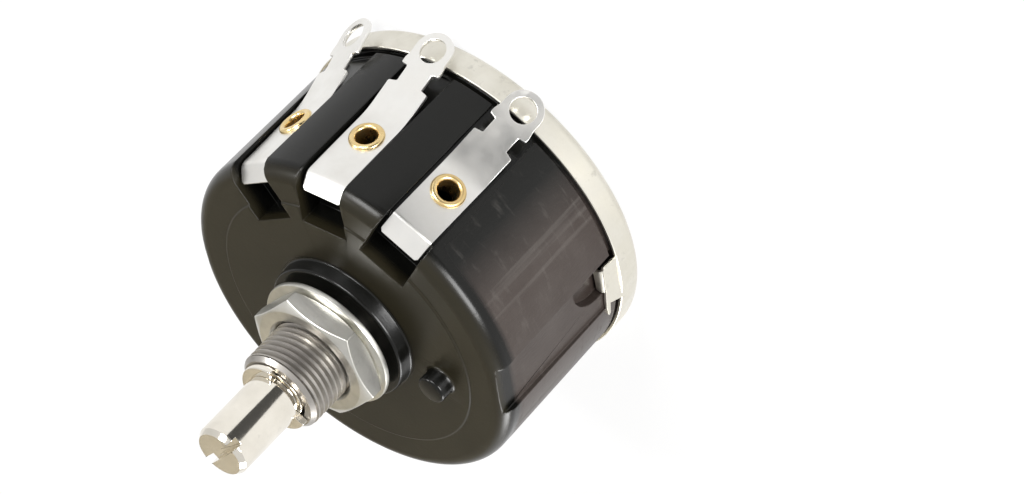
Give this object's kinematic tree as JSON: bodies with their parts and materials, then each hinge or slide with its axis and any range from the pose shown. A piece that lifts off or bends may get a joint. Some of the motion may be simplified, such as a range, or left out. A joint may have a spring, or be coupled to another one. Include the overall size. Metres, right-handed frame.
{
  "type": "wirewound rheostat",
  "caption": "Round panel-mounting wirewound rheostat with a slotted shaft, threaded bushing, nut and washer, riveted solder-lug terminals and a crimped metal back cover.",
  "frame": {"origin": "on the shaft's axis, at the mounting boss's front face, which seats against the panel", "axes": "+Z along the shaft, out through the panel; the middle terminal points along -Y; the terminals' lugs point back, towards -Z"},
  "size_m": [0.0422, 0.0443, 0.0462],
  "materials": {
    "phenolic": "semi-gloss moulded",
    "cover_plate": "bright plated, slightly warm",
    "fibre": "matte",
    "bushing_metal": "dull grey, worn",
    "nickel": "satin nickel",
    "spring_bronze": "satin",
    "hub_moulding": "matte",
    "carbon": "matte",
    "resistance_wire": "dull oxidised",
    "tin_plate": "bright tinned",
    "eyelet_brass": "satin"
  },
  "bodies": {
    "body": {"housing": "phenolic", "cover": "cover_plate", "insulating_disc": "fibre", "bushing": "bushing_metal", "collector_plate": "spring_bronze", "winding_former": "fibre", "resistance_winding": "resistance_wire", "end_clamp_left": "spring_bronze", "end_clamp_right": "spring_bronze", "terminal_left": "tin_plate", "terminal_centre": "tin_plate", "terminal_right": "tin_plate", "eyelet_left": "eyelet_brass", "eyelet_centre": "eyelet_brass", "eyelet_right": "eyelet_brass"},
    "rotor": {"shaft": "nickel", "shaft_clip": "nickel", "thrust_washer": "spring_bronze", "rotor_hub": "hub_moulding", "rear_clip": "nickel", "wiper_arm": "spring_bronze", "wiper_contact": "carbon", "pickup_spring": "spring_bronze"},
    "washer": {"flat_washer": "nickel"},
    "nut": {"hex_nut": "nickel"}
  },
  "joints": [
    {"name": "shaft_turn", "type": "hinge", "parent": "body", "child": "rotor", "pos_m": [0, 0, 0], "axis": [0, 0, 1], "range_deg": [-135, 135]},
    {"name": "washer_slide", "type": "slide", "parent": "body", "child": "washer", "axis": [0, 0, 1], "range_m": [-0.0011, 0.0054]},
    {"name": "nut_spin", "type": "hinge", "parent": "washer", "child": "nut", "pos_m": [0, 0, 0.0032], "axis": [0, 0, 1], "range_deg": [-528, 2592]}
  ],
  "couplings": [
    {"joint": "washer_slide", "follows": "nut_spin", "m_per_rad": 0.00011937}
  ]
}
